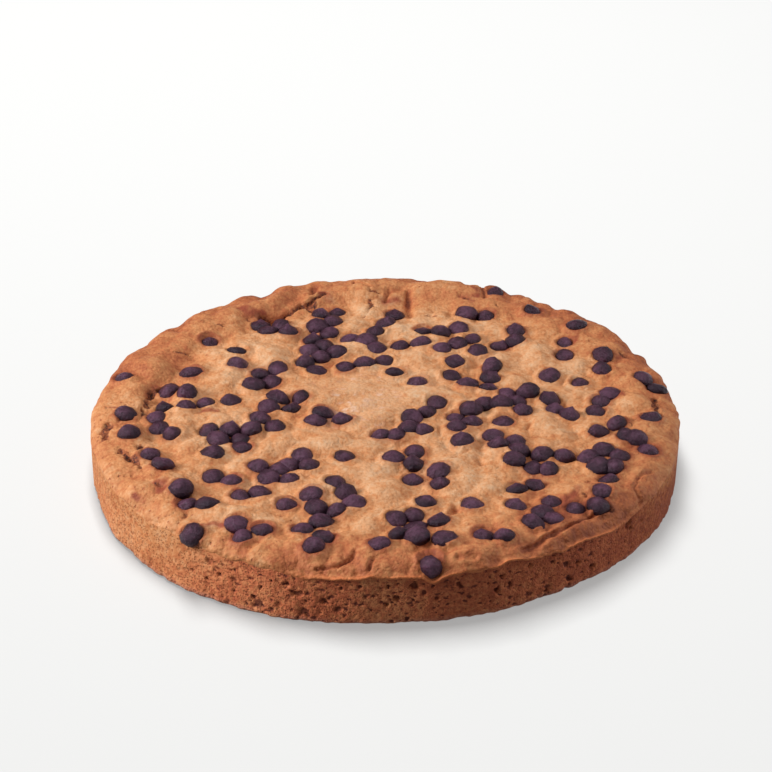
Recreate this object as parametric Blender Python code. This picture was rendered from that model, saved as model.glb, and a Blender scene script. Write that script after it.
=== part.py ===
"""A whole round chocolate chip cookie cake that lies on its flat baked underside.

The dough is one turned loaf of cookie: a flat base, an upright crumb wall, a crust whose lip
stands proud of the wall, a broad rounded rim and a slightly dished top. The chips lie in
strings and clumps, each sunk into a hollow of its own, and are fused to the dough.
+Z is up, and the origin is the middle of the underside.
"""

import math

import bmesh
import bpy
import numpy as np
from mathutils import Matrix, Vector

MM = 0.001

# Driving sizes of the dough.
RADIUS = 127.0 * MM
RIM_HEIGHT = 29.4 * MM
LIP_HEIGHT = 21.6 * MM
SHOULDER_WIDTH = 20.0 * MM
DISH_DEPTH = 1.2 * MM
DISH_WIDTH = 14.0 * MM
WALL_SETBACK = 1.1 * MM
BASE_SETBACK = 2.6 * MM
BASE_EDGE_HEIGHT = 1.8 * MM
FLARE_REACH = 3.6 * MM
FLARE_ANGLE = math.radians(-130.0)
FLARE_SPREAD = math.radians(26.0)

# How uneven the dough bakes: the rim's outline, the lip's level and the puffs on top.
OUTLINE_WANDER = 0.9 * MM
OUTLINE_WAVE = 45.0 * MM
LIP_WANDER = 1.6 * MM
LIP_WAVE = 34.0 * MM
PUFF_HEIGHT = 3.0 * MM
PUFF_WIDTH = 20.0 * MM
SWELL_HEIGHT = 1.3 * MM
SWELL_WIDTH = 48.0 * MM

# Driving sizes of a chip, and of the hollow that it presses into the dough.
CHIP_RADIUS = 4.7 * MM
CHIP_HEIGHT = 6.0 * MM
CHIP_PITCH = 8.4 * MM
CHIP_SINK = 1.5 * MM
SINK_SPREAD = 1.0 * MM
HOLLOW_DEPTH = 3.2 * MM
HOLLOW_WIDTH = 6.2 * MM
MOAT_DEPTH = 2.4 * MM
MOAT_RADIUS = 98.0 * MM
MOAT_WIDTH = 6.5 * MM
MOAT_ANGLE = math.radians(150.0)
CHIP_SEED = 27

# Resolution of the solid.
TOP_CELLS = 32
SIDE_ROWS = 6
GRID_EDGE_ANGLE = math.radians(60.0)
CHIP_SIDES = 6

# Strings of chips as they fell: from x, y to x, y in millimetres, and how many lie between.
# A string with more chips than fit in single file staggers into two rows.
CHIP_STRINGS = (
    (-58, 73, -44, 71, 4), (-67, 49, -66, 35, 2), (-26, 89, -34, 34, 11), (4, 87, -9, 58, 4),
    (-4, 52, 6, 54, 2), (-18, 36, -1, 42, 3), (4, 30, 14, 21, 2), (37, 85, 46, 84, 2),
    (17, 68, 33, 69, 3), (25, 50, 39, 61, 3), (53, 55, 61, 66, 3), (87, 69, 81, 57, 2),
    (97, 44, 96, 31, 2), (-51, 34, -55, 18, 4), (-95, 15, -78, 3, 3), (-95, -1, -86, -2, 2),
    (-99, -11, -91, -25, 3), (-75, -25, -57, -25, 5), (-47, 6, -54, -12, 3), (-37, 7, -41, -2, 2),
    (-98, -42, -92, -51, 2), (-28, -7, -29, -15, 2), (16, -5, 5, -26, 4), (43, 2, 30, -9, 3),
    (37, -14, 30, -20, 2), (29, 27, 36, 20, 2), (44, -29, 57, -35, 4), (47, 34, 45, 17, 3),
    (60, 12, 57, -3, 3), (53, 11, 50, 1, 2), (70, 6, 78, -8, 3), (97, 11, 90, -4, 3),
    (112, 21, 119, 19, 2), (98, -17, 101, -29, 2), (104, -32, 110, -37, 2), (65, -40, 74, -40, 2),
    (88, -39, 85, -52, 3), (97, -43, 87, -71, 4), (53, -50, 60, -49, 2), (61, -63, 53, -67, 2),
    (67, -77, 58, -95, 3), (76, -82, 85, -80, 2), (-71, -58, -63, -60, 2), (-84, -72, -73, -82, 3),
    (-59, -72, -51, -69, 2), (-47, -53, -43, -61, 3), (-60, -98, -50, -102, 3),
    (-38, -43, -35, -51, 3), (-21, -63, -12, -79, 3), (-30, -73, -26, -92, 3),
    (-24, -104, -28, -112, 2), (12, -38, 11, -59, 3), (22, -55, 22, -64, 2), (4, -90, 5, -103, 2),
    (11, -87, 12, -106, 3), (39, -105, 46, -103, 2),
)

# Chips that fell alone, x and y in millimetres.
STRAY_CHIPS = (
    (-16, 62), (-22, 48), (16, 56), (41, 49), (31, 39), (51, 106), (68, 86), (80, 46), (-115, 24),
    (-86, 30), (-80, 60), (-67, 5), (-111, -9), (-108, -25), (-60, -35), (-47, -19), (-72, -41),
    (-18, -13), (22, 3), (16, -21), (-2, -25), (32, -32), (50, -13), (72, 26), (85, 21),
    (113, -13), (90, -22), (67, -53), (52, -81), (67, -90), (-53, -50), (-76, -99), (-40, -79),
    (-17, -43), (-20, -84), (-33, -98), (3, -45), (16, -78), (35, -79), (21, -93), (23, -108),
    (-3, -111), (17, -119),
)


def clear_scene():
    """Removes whatever the file holds, so that only the cake is in it."""
    for old in list(bpy.data.objects):
        bpy.data.objects.remove(old, do_unlink=True)


def gradient_noise(x, y, seed):
    """Smooth noise from about -1 to 1 that changes over one unit of x and y, for whole arrays."""
    column, row = np.floor(x), np.floor(y)
    across, along = x - column, y - row
    ease_x, ease_y = (f * f * f * (f * (f * 6.0 - 15.0) + 10.0) for f in (across, along))

    def corner(step_x, step_y):
        turns = np.sin((column + step_x) * 12.9898 + (row + step_y) * 78.233 + seed * 37.719)
        angle = 2.0 * np.pi * ((turns * 43758.5453) % 1.0)
        return np.cos(angle) * (across - step_x) + np.sin(angle) * (along - step_y)

    low = corner(0, 0) * (1.0 - ease_x) + corner(1, 0) * ease_x
    high = corner(0, 1) * (1.0 - ease_x) + corner(1, 1) * ease_x
    return 1.5 * (low * (1.0 - ease_y) + high * ease_y)


def string_points(start_x, start_y, end_x, end_y, count):
    """Places of a string's chips, in metres. Where the file is too short for the chips' pitch,
    they step aside in turn by just enough to keep that pitch."""
    start = np.array([start_x, start_y]) * MM
    run = np.array([end_x, end_y]) * MM - start
    length = np.hypot(*run)
    step = length / (count - 1)
    aside = 0.5 * math.sqrt(max(CHIP_PITCH**2 - step**2, 0.0))
    share = np.linspace(0.0, 1.0, count)[:, None]
    side = np.where(np.arange(count) % 2 == 0, aside, -aside)[:, None]
    return start + share * run + side * np.array([-run[1], run[0]]) / length


def chip_places():
    """x and y of every chip, in metres, the strings first and the strays after them."""
    strings = [string_points(*row) for row in CHIP_STRINGS]
    return np.vstack(strings + [np.array(STRAY_CHIPS) * MM])


CHIPS = chip_places()


def hollows(x, y):
    """Share of a full hollow at x and y, 1 where chips lie thick and 0 far from any."""
    load = np.zeros_like(x)
    for chip_x, chip_y in CHIPS:
        load += np.exp(-((x - chip_x) ** 2 + (y - chip_y) ** 2) / HOLLOW_WIDTH**2)
    return 1.0 - np.exp(-1.4 * load)


def outline_radius(angle):
    """Radius of the lip at an angle round the cake, which wanders a little."""
    x, y = RADIUS * np.cos(angle) / OUTLINE_WAVE, RADIUS * np.sin(angle) / OUTLINE_WAVE
    return RADIUS + OUTLINE_WANDER * gradient_noise(x, y, 5)


def lip_height(angle):
    """Height of the crust's lip at an angle round the cake."""
    x, y = RADIUS * np.cos(angle) / LIP_WAVE, RADIUS * np.sin(angle) / LIP_WAVE
    return LIP_HEIGHT + LIP_WANDER * gradient_noise(x, y, 11)


def crown_height(x, y):
    """Height of the even crown: a quarter ellipse from the rim's crest to the lip, and a
    shallow dish inside the rim."""
    radius = np.hypot(x, y)
    inner = RADIUS - SHOULDER_WIDTH
    over = np.clip((radius - inner) / SHOULDER_WIDTH, 0.0, 1.0)
    drop = (RIM_HEIGHT - lip_height(np.arctan2(y, x))) * (1.0 - np.sqrt(1.0 - over**2))
    dip = np.clip((inner - radius) / DISH_WIDTH, 0.0, 1.0)
    return RIM_HEIGHT - drop - DISH_DEPTH * 0.5 * (1.0 - np.cos(np.pi * dip))


def moat(x, y):
    """Share of a full moat at x and y: the dough sank along the foot of the rim, most of all on
    the side where the rim rose best."""
    radius, angle = np.hypot(x, y), np.arctan2(y, x)
    across = np.exp(-(((radius - MOAT_RADIUS) / MOAT_WIDTH) ** 2))
    along = np.clip(0.35 + 0.65 * np.cos(angle - MOAT_ANGLE), 0.0, 1.0)
    return across * along


def dough_height(x, y):
    """Height of the dough's top at x and y: the crown, puffs with creases between them, a
    hollow round each chip and the moat. The puffs fade out towards the lip."""
    radius = np.hypot(x, y)
    puffs = np.abs(gradient_noise(x / PUFF_WIDTH, y / PUFF_WIDTH, 3)) - 0.3
    swell = gradient_noise(x / SWELL_WIDTH, y / SWELL_WIDTH, 8)
    sunk = HOLLOW_DEPTH * hollows(x, y) + MOAT_DEPTH * moat(x, y)
    relief = PUFF_HEIGHT * puffs + SWELL_HEIGHT * swell - sunk
    fade = np.clip((RADIUS - radius) / (0.5 * SHOULDER_WIDTH), 0.0, 1.0)
    return crown_height(x, y) + relief * fade


def base_flare(angle):
    """How far the foot of the wall spreads at an angle round the cake, where it baked wider."""
    return FLARE_REACH * math.exp(-(((angle - FLARE_ANGLE) / FLARE_SPREAD) ** 2))


def side_point(row, angle):
    """Radius and height of one row of the side at an angle round the cake. The rows run from
    the shoulder over the lip and down the wall to the base's edge."""
    edge, lip, flare = outline_radius(angle), lip_height(angle), base_flare(angle)
    shoulder = math.radians(75.0)
    rows = (
        (
            edge - SHOULDER_WIDTH * (1.0 - math.sin(shoulder)),
            lip + (RIM_HEIGHT - LIP_HEIGHT) * math.cos(shoulder),
        ),
        (edge, lip),
        (edge - WALL_SETBACK, lip - WALL_SETBACK),
        (edge - 0.8 * WALL_SETBACK + 0.5 * flare, 0.5 * lip),
        (edge - WALL_SETBACK + flare, BASE_EDGE_HEIGHT),
        (edge - BASE_SETBACK + flare, 0.0),
    )
    return rows[row]


def disc_from_square(u, v):
    """A point of the square from -1 to 1 carried onto the unit disc, its edge onto the circle."""
    return u * math.sqrt(1.0 - 0.5 * v * v), v * math.sqrt(1.0 - 0.5 * u * u)


def material(name, colour, roughness):
    """A plain Principled material of one colour."""
    made = bpy.data.materials.new(name)
    made.use_nodes = True
    shader = made.node_tree.nodes["Principled BSDF"]
    shader.inputs["Base Color"].default_value = (*colour, 1.0)
    shader.inputs["Roughness"].default_value = roughness
    shader.inputs["Metallic"].default_value = 0.0
    return made


def baked_dough(collection):
    """The dough: a grid carried onto a disc and raised to the top's relief, its edge extruded
    down the side row by row, and the last row filled as the flat base."""
    shell = bmesh.new()
    bmesh.ops.create_grid(shell, x_segments=TOP_CELLS, y_segments=TOP_CELLS, size=1.0)
    reach = RADIUS - SHOULDER_WIDTH * (1.0 - math.sin(GRID_EDGE_ANGLE))
    for vert in shell.verts:
        disc_x, disc_y = disc_from_square(vert.co.x, vert.co.y)
        wander = outline_radius(math.atan2(disc_y, disc_x)) / RADIUS
        x, y = disc_x * reach, disc_y * reach
        height = dough_height(np.array([x]), np.array([y]))[0]
        vert.co = (x * wander, y * wander, height)

    edge = [e for e in shell.edges if e.is_boundary]
    for row in range(SIDE_ROWS):
        extruded = bmesh.ops.extrude_edge_only(shell, edges=edge)["geom"]
        edge = [item for item in extruded if isinstance(item, bmesh.types.BMEdge)]
        for vert in (item for item in extruded if isinstance(item, bmesh.types.BMVert)):
            angle = math.atan2(vert.co.y, vert.co.x)
            radius, height = side_point(row, angle)
            vert.co = (radius * math.cos(angle), radius * math.sin(angle), height)
    bmesh.ops.contextual_create(shell, geom=edge)
    bmesh.ops.recalc_face_normals(shell, faces=shell.faces)

    mesh = bpy.data.meshes.new("cookie_cake")
    shell.to_mesh(mesh)
    shell.free()
    cake = bpy.data.objects.new("cookie_cake", mesh)
    collection.objects.link(cake)
    mesh.materials.append(material("baked_dough", (0.60, 0.31, 0.13), 0.75))
    return cake


def chip_mesh():
    """One chip: a six-sided round whose lower pole is drawn in and whose upper pole is drawn up
    to the blunt tip. Its zero height is where the dough meets it."""
    shape = bmesh.new()
    bmesh.ops.create_uvsphere(shape, u_segments=CHIP_SIDES, v_segments=3, radius=1.0)
    band = 1.03 * CHIP_RADIUS / math.sin(math.radians(60.0))
    proud = CHIP_HEIGHT - CHIP_SINK
    heights = {1.0: proud, 0.5: 0.42 * proud, -0.5: -2.4 * MM, -1.0: -3.4 * MM}
    for vert in shape.verts:
        level = min(heights, key=lambda known: abs(known - vert.co.z))
        vert.co = (vert.co.x * band, vert.co.y * band, heights[level])
    mesh = bpy.data.meshes.new("chip")
    shape.to_mesh(mesh)
    shape.free()
    mesh.materials.append(material("dark_chocolate", (0.055, 0.025, 0.030), 0.5))
    return mesh


def dough_normals(x, y):
    """Directions in which the dough faces at x and y, over the width of a chip."""
    step = 3.0 * MM
    slope_x = (dough_height(x + step, y) - dough_height(x - step, y)) / (2.0 * step)
    slope_y = (dough_height(x, y + step) - dough_height(x, y - step)) / (2.0 * step)
    return np.stack([-slope_x, -slope_y, np.ones_like(x)], axis=1)


def scatter_chips(collection):
    """A chip at every place, square to the dough but for a small lean, each of its own size."""
    mesh = chip_mesh()
    draw = np.random.default_rng(CHIP_SEED)
    count = len(CHIPS)
    size = draw.uniform(0.90, 1.08, count)
    turn = draw.uniform(0.0, 2.0 * np.pi, count)
    lean = np.radians(np.abs(draw.normal(0.0, 13.0, count)))
    towards = draw.uniform(0.0, 2.0 * np.pi, count)
    sunk = draw.uniform(-SINK_SPREAD, SINK_SPREAD, count)
    level = dough_height(CHIPS[:, 0], CHIPS[:, 1]) - sunk
    faces_to = dough_normals(CHIPS[:, 0], CHIPS[:, 1])
    for index, (x, y) in enumerate(CHIPS):
        chip = bpy.data.objects.new(f"chip_{index:03d}", mesh)
        upright = Vector(faces_to[index]).to_track_quat("Z", "Y").to_matrix().to_4x4()
        axis = Vector((math.cos(towards[index]), math.sin(towards[index]), 0.0))
        leaning = Matrix.Rotation(lean[index], 4, axis) @ Matrix.Rotation(turn[index], 4, "Z")
        place = Matrix.Translation((x, y, level[index]))
        chip.matrix_world = place @ upright @ leaning @ Matrix.Scale(size[index], 4)
        collection.objects.link(chip)


def fuse(cake, chips):
    """Joins every chip to the dough with one Boolean union, applied, and drops the loose chips."""
    union = cake.modifiers.new("fuse_chips", "BOOLEAN")
    union.operation = "UNION"
    union.operand_type = "COLLECTION"
    union.collection = chips
    union.solver = "EXACT"
    bpy.context.view_layer.update()
    graph = bpy.context.evaluated_depsgraph_get()
    fused = bpy.data.meshes.new_from_object(cake.evaluated_get(graph))
    cake.modifiers.clear()
    cake.data = fused
    for chip in list(chips.objects):
        bpy.data.objects.remove(chip, do_unlink=True)
    bpy.data.collections.remove(chips)


def main():
    clear_scene()
    parts = bpy.data.collections.new("cookie_cake_parts")
    chips = bpy.data.collections.new("chips_to_fuse")
    for collection in (parts, chips):
        bpy.context.scene.collection.children.link(collection)
    cake = baked_dough(parts)
    scatter_chips(chips)
    fuse(cake, chips)
    cake.data.shade_smooth()
    cake.data.set_sharp_from_angle(angle=math.radians(35.0))


main()
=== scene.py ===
"""A whole round chocolate chip cookie cake on a pale floor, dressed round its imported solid."""

import math

import bpy
import numpy as np
from mathutils import Matrix, Vector


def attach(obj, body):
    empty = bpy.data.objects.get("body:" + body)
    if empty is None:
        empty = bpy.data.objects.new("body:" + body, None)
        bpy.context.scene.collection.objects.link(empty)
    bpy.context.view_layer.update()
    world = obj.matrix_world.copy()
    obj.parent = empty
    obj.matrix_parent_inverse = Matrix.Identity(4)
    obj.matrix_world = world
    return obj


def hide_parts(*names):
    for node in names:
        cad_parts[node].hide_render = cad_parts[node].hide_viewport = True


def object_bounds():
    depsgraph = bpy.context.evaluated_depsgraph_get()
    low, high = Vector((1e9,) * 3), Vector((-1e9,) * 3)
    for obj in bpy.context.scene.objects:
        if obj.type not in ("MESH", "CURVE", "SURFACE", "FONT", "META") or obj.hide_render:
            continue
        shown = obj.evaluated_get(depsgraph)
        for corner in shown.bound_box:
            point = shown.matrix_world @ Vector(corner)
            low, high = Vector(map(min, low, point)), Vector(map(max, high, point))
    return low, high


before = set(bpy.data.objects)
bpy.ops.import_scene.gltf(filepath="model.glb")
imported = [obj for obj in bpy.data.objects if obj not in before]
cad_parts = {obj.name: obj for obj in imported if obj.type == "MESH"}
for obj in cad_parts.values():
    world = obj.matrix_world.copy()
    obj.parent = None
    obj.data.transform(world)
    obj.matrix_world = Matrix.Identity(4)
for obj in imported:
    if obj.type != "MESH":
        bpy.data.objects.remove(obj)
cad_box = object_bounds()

MM = 0.001

# ---------------------------------------------------------------------------------------------
# The crust. One thick round of cookie dough, baked in a round tin, with a puffed rim and a
# slightly sunk middle. Its top dried to a thin golden skin that tears where the rim rose. Across
# the front it ends in a thin ragged lip, and elsewhere it runs on down the wall.
# ---------------------------------------------------------------------------------------------

# The form of the dough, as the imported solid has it.
RADIUS = 127.0 * MM
RIM_HEIGHT = 29.4 * MM
LIP_HEIGHT = 21.6 * MM
SHOULDER_WIDTH = 20.0 * MM
DISH_DEPTH = 1.2 * MM
DISH_WIDTH = 14.0 * MM
WALL_SETBACK = 1.1 * MM
BASE_SETBACK = 2.6 * MM
BASE_EDGE_HEIGHT = 1.8 * MM
FLARE_REACH = 3.6 * MM
FLARE_ANGLE = math.radians(-130.0)
FLARE_SPREAD = math.radians(26.0)
OUTLINE_WANDER = 0.9 * MM
OUTLINE_WAVE = 45.0 * MM
LIP_WANDER = 1.6 * MM
LIP_WAVE = 34.0 * MM
PUFF_HEIGHT = 3.0 * MM
PUFF_WIDTH = 20.0 * MM
SWELL_HEIGHT = 1.3 * MM
SWELL_WIDTH = 48.0 * MM
CHIP_RADIUS = 4.7 * MM
CHIP_HEIGHT = 6.0 * MM
CHIP_PITCH = 8.4 * MM
CHIP_SINK = 1.5 * MM
SINK_SPREAD = 1.0 * MM
HOLLOW_DEPTH = 3.2 * MM
HOLLOW_WIDTH = 6.2 * MM
MOAT_DEPTH = 2.4 * MM
MOAT_RADIUS = 98.0 * MM
MOAT_WIDTH = 6.5 * MM
MOAT_ANGLE = math.radians(150.0)
CHIP_SEED = 27

# Strings of chips as they fell: from x, y to x, y in millimetres, and how many lie along it.
CHIP_STRINGS = (
    (-58, 73, -44, 71, 4), (-67, 49, -66, 35, 2), (-26, 89, -34, 34, 11), (4, 87, -9, 58, 4),
    (-4, 52, 6, 54, 2), (-18, 36, -1, 42, 3), (4, 30, 14, 21, 2), (37, 85, 46, 84, 2),
    (17, 68, 33, 69, 3), (25, 50, 39, 61, 3), (53, 55, 61, 66, 3), (87, 69, 81, 57, 2),
    (97, 44, 96, 31, 2), (-51, 34, -55, 18, 4), (-95, 15, -78, 3, 3), (-95, -1, -86, -2, 2),
    (-99, -11, -91, -25, 3), (-75, -25, -57, -25, 5), (-47, 6, -54, -12, 3), (-37, 7, -41, -2, 2),
    (-98, -42, -92, -51, 2), (-28, -7, -29, -15, 2), (16, -5, 5, -26, 4), (43, 2, 30, -9, 3),
    (37, -14, 30, -20, 2), (29, 27, 36, 20, 2), (44, -29, 57, -35, 4), (47, 34, 45, 17, 3),
    (60, 12, 57, -3, 3), (53, 11, 50, 1, 2), (70, 6, 78, -8, 3), (97, 11, 90, -4, 3),
    (112, 21, 119, 19, 2), (98, -17, 101, -29, 2), (104, -32, 110, -37, 2), (65, -40, 74, -40, 2),
    (88, -39, 85, -52, 3), (97, -43, 87, -71, 4), (53, -50, 60, -49, 2), (61, -63, 53, -67, 2),
    (67, -77, 58, -95, 3), (76, -82, 85, -80, 2), (-71, -58, -63, -60, 2), (-84, -72, -73, -82, 3),
    (-59, -72, -51, -69, 2), (-47, -53, -43, -61, 3), (-60, -98, -50, -102, 3),
    (-38, -43, -35, -51, 3), (-21, -63, -12, -79, 3), (-30, -73, -26, -92, 3),
    (-24, -104, -28, -112, 2), (12, -38, 11, -59, 3), (22, -55, 22, -64, 2), (4, -90, 5, -103, 2),
    (11, -87, 12, -106, 3), (39, -105, 46, -103, 2),
)

# Chips that fell alone, x and y in millimetres.
STRAY_CHIPS = (
    (-16, 62), (-22, 48), (16, 56), (41, 49), (31, 39), (51, 106), (68, 86), (80, 46), (-115, 24),
    (-86, 30), (-80, 60), (-67, 5), (-111, -9), (-108, -25), (-60, -35), (-47, -19), (-72, -41),
    (-18, -13), (22, 3), (16, -21), (-2, -25), (32, -32), (50, -13), (72, 26), (85, 21),
    (113, -13), (90, -22), (67, -53), (52, -81), (67, -90), (-53, -50), (-76, -99), (-40, -79),
    (-17, -43), (-20, -84), (-33, -98), (3, -45), (16, -78), (35, -79), (21, -93), (23, -108),
    (-3, -111), (17, -119),
)


def gradient_noise(x, y, seed):
    """Smooth noise from about -1 to 1 that changes over one unit of x and y, for whole arrays."""
    column, row = np.floor(x), np.floor(y)
    across, along = x - column, y - row
    ease_x, ease_y = (f * f * f * (f * (f * 6.0 - 15.0) + 10.0) for f in (across, along))

    def corner(step_x, step_y):
        turns = np.sin((column + step_x) * 12.9898 + (row + step_y) * 78.233 + seed * 37.719)
        angle = 2.0 * np.pi * ((turns * 43758.5453) % 1.0)
        return np.cos(angle) * (across - step_x) + np.sin(angle) * (along - step_y)

    low = corner(0, 0) * (1.0 - ease_x) + corner(1, 0) * ease_x
    high = corner(0, 1) * (1.0 - ease_x) + corner(1, 1) * ease_x
    return 1.5 * (low * (1.0 - ease_y) + high * ease_y)


def string_points(start_x, start_y, end_x, end_y, count):
    """Places of a string's chips, in metres. Where the file is too short for the chips' pitch,
    they step aside in turn by just enough to keep that pitch."""
    start = np.array([start_x, start_y]) * MM
    run = np.array([end_x, end_y]) * MM - start
    length = np.hypot(*run)
    step = length / (count - 1)
    aside = 0.5 * math.sqrt(max(CHIP_PITCH**2 - step**2, 0.0))
    share = np.linspace(0.0, 1.0, count)[:, None]
    side = np.where(np.arange(count) % 2 == 0, aside, -aside)[:, None]
    return start + share * run + side * np.array([-run[1], run[0]]) / length


CHIPS = np.vstack([string_points(*row) for row in CHIP_STRINGS] + [np.array(STRAY_CHIPS) * MM])


def hollows(x, y):
    """Share of a full hollow at x and y, 1 where chips lie thick and 0 far from any."""
    load = np.zeros_like(x)
    for chip_x, chip_y in CHIPS:
        load += np.exp(-((x - chip_x) ** 2 + (y - chip_y) ** 2) / HOLLOW_WIDTH**2)
    return 1.0 - np.exp(-1.4 * load)


def outline_radius(angle):
    """Radius of the lip at an angle round the cake, which wanders a little."""
    x, y = RADIUS * np.cos(angle) / OUTLINE_WAVE, RADIUS * np.sin(angle) / OUTLINE_WAVE
    return RADIUS + OUTLINE_WANDER * gradient_noise(x, y, 5)


def lip_height(angle):
    """Height of the crust's lip at an angle round the cake."""
    x, y = RADIUS * np.cos(angle) / LIP_WAVE, RADIUS * np.sin(angle) / LIP_WAVE
    return LIP_HEIGHT + LIP_WANDER * gradient_noise(x, y, 11)


def crown_height(x, y):
    """Height of the even crown: a quarter ellipse from the rim's crest to the lip, and a
    shallow dish inside the rim."""
    radius = np.hypot(x, y)
    inner = RADIUS - SHOULDER_WIDTH
    over = np.clip((radius - inner) / SHOULDER_WIDTH, 0.0, 1.0)
    drop = (RIM_HEIGHT - lip_height(np.arctan2(y, x))) * (1.0 - np.sqrt(1.0 - over**2))
    dip = np.clip((inner - radius) / DISH_WIDTH, 0.0, 1.0)
    return RIM_HEIGHT - drop - DISH_DEPTH * 0.5 * (1.0 - np.cos(np.pi * dip))


def moat(x, y):
    """Share of a full moat at x and y: the dough sank along the foot of the rim, most of all on
    the side where the rim rose best."""
    radius, angle = np.hypot(x, y), np.arctan2(y, x)
    across = np.exp(-(((radius - MOAT_RADIUS) / MOAT_WIDTH) ** 2))
    along = np.clip(0.35 + 0.65 * np.cos(angle - MOAT_ANGLE), 0.0, 1.0)
    return across * along


def dough_height(x, y):
    """Height of the dough's top at x and y: the crown, puffs with creases between them, a
    hollow round each chip and the moat. The puffs fade out towards the lip."""
    radius = np.hypot(x, y)
    puffs = np.abs(gradient_noise(x / PUFF_WIDTH, y / PUFF_WIDTH, 3)) - 0.3
    swell = gradient_noise(x / SWELL_WIDTH, y / SWELL_WIDTH, 8)
    sunk = HOLLOW_DEPTH * hollows(x, y) + MOAT_DEPTH * moat(x, y)
    relief = PUFF_HEIGHT * puffs + SWELL_HEIGHT * swell - sunk
    fade = np.clip((RADIUS - radius) / (0.5 * SHOULDER_WIDTH), 0.0, 1.0)
    return crown_height(x, y) + relief * fade


# How the crust is cut up, and where it ends in a lip or runs on down the wall.
CRUST_CELLS = 296
SHOULDER_PATH = 23.0 * MM
CRUST_UNDERSIDE = 14.0 * MM
OPEN_MIDDLE = math.radians(-80.0)
OPEN_HALF_SPREAD = math.radians(45.0)
OPEN_FADE = math.radians(20.0)
LIP_MIDDLE = math.radians(-72.0)
LIP_HALF_SPREAD = math.radians(31.5)
LIP_FADE = math.radians(9.0)
LIP_THICKNESS = 0.9 * MM
FRONT_INSET = 1.3 * MM
EDGE_MARGIN = 0.1 * MM

# Angles on the shoulder, back from the lip, over which the relief fades out, a band of the lip gets
# a painted highlight, and the lip rises to a flange.
EDGE_TURN = 0.14
LIP_HIGHLIGHT_TURN = 0.085
FLANGE_TURN = 0.30

# The flange curls up and out, and its underside is tucked back in.
FLANGE_REACH = 1.6 * MM
CURL_HEIGHT = 0.9 * MM
CURL_TUCK = 0.1 * MM
FLANGE_TUCK = 0.3 * MM
WRAP_TUCK = 0.25 * MM
UNDER_INSETS = (0.5 * MM, 3.0 * MM, 6.0 * MM)

# The lip's tears and nicks and the outline's bulges, as a height and a width, and the tongue of
# dough under the chip at the front edge, with the dent that this chip pressed.
LIP_TEAR, LIP_TEAR_WIDTH = 1.5 * MM, 9.0 * MM
LIP_NICK, LIP_NICK_WIDTH = 0.9 * MM, 2.8 * MM
BULGE, BULGE_WIDTH = 0.4 * MM, 11.0 * MM
TONGUE_ANGLE = math.radians(-81.6)
TONGUE_SPREAD = math.radians(3.6)
TONGUE_DROP = 3.3 * MM
HANG_X, HANG_Y = 17.3 * MM, -122.0 * MM
HANG_DENT, HANG_WIDTH = 2.4 * MM, 5.0 * MM

# Dough round the chips: a collar, a bed that stands a little higher, where the other relief is
# calmer, and a dent under each chip that sank deep.
COLLAR_HEIGHT, COLLAR_WIDTH = 1.5 * MM, 1.3 * MM
COLLAR_REACH, COLLAR_PATCH = 5.1 * MM, 7.0 * MM
BEDDING_HEIGHT = 1.0 * MM
BEDDING_REACH, BEDDING_FADE = 8.0 * MM, 3.0 * MM
BEDDING_CALM = 0.6
DENT_REACH = 6.2 * MM
DENT_GAIN = 1.9

# The crust's own relief, as a height and a width, from the widest to the finest.
BILLOW_HEIGHT, BILLOW_WIDTH = 1.7 * MM, 17.0 * MM
LUMP_HEIGHT, LUMP_WIDTH = 1.0 * MM, 12.0 * MM
CLOD_HEIGHT, CLOD_WIDTH = 1.1 * MM, 8.5 * MM
CLOD_WANDER, CLOD_WAVE, CLOD_PATCH = 1.5 * MM, 5.0 * MM, 34.0 * MM
PLEAT_HEIGHT, PLEAT_WIDTH = 1.5 * MM, 6.5 * MM
PLEAT_START, PLEAT_FADE = 104.0 * MM, 10.0 * MM
WRINKLE_HEIGHT, WRINKLE_WIDTH = 0.42 * MM, 6.0 * MM
GRAIN_HEIGHT, GRAIN_WIDTH = 0.32 * MM, 3.2 * MM
CRUMB_HEIGHT, CRUMB_WIDTH = 1.3 * MM, 1.9 * MM
FOLD_GAIN = 1.35

# The middle stayed smooth and pale, and the rim starts this far out.
BALD_X, BALD_Y = -6.0 * MM, 5.0 * MM
BALD_RADIUS, BALD_FADE = 20.0 * MM, 16.0 * MM
RIM_START, RIM_FADE = 90.0 * MM, 16.0 * MM

# How far a tear, a crease and a stain wander from their lines, and over what length.
TEAR_WANDER, TEAR_WAVE = 1.5 * MM, 3.6 * MM
CREASE_WANDER, CREASE_WAVE = 1.1 * MM, 8.0 * MM
STAIN_WANDER, STAIN_WAVE = 1.6 * MM, 4.0 * MM

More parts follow.
